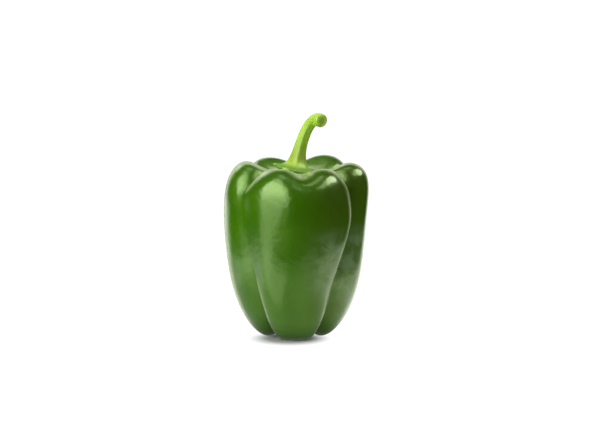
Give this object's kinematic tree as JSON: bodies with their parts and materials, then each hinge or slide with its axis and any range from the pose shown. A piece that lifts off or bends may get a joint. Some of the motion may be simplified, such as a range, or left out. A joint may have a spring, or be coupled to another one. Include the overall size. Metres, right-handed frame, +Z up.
{
  "type": "bell pepper",
  "caption": "Whole green bell pepper standing on its lobes, blocky pod with rounded lobes and grooves, with a curved stem on a flared calyx in the hollow top.",
  "frame": {"origin": "on the surface the pepper stands on, below the middle of its bounding box", "axes": "+Z up, from the blossom end to the stem; -Y towards the wide front lobe; +X towards the side the stem bends to"},
  "size_m": [0.0872, 0.086, 0.1351],
  "materials": {
    "skin": "smooth, waxy and glossy",
    "stem": "satin, ribbed lengthwise"
  },
  "bodies": {
    "root": {"pod": "skin", "stem": "stem"}
  },
  "joints": []
}
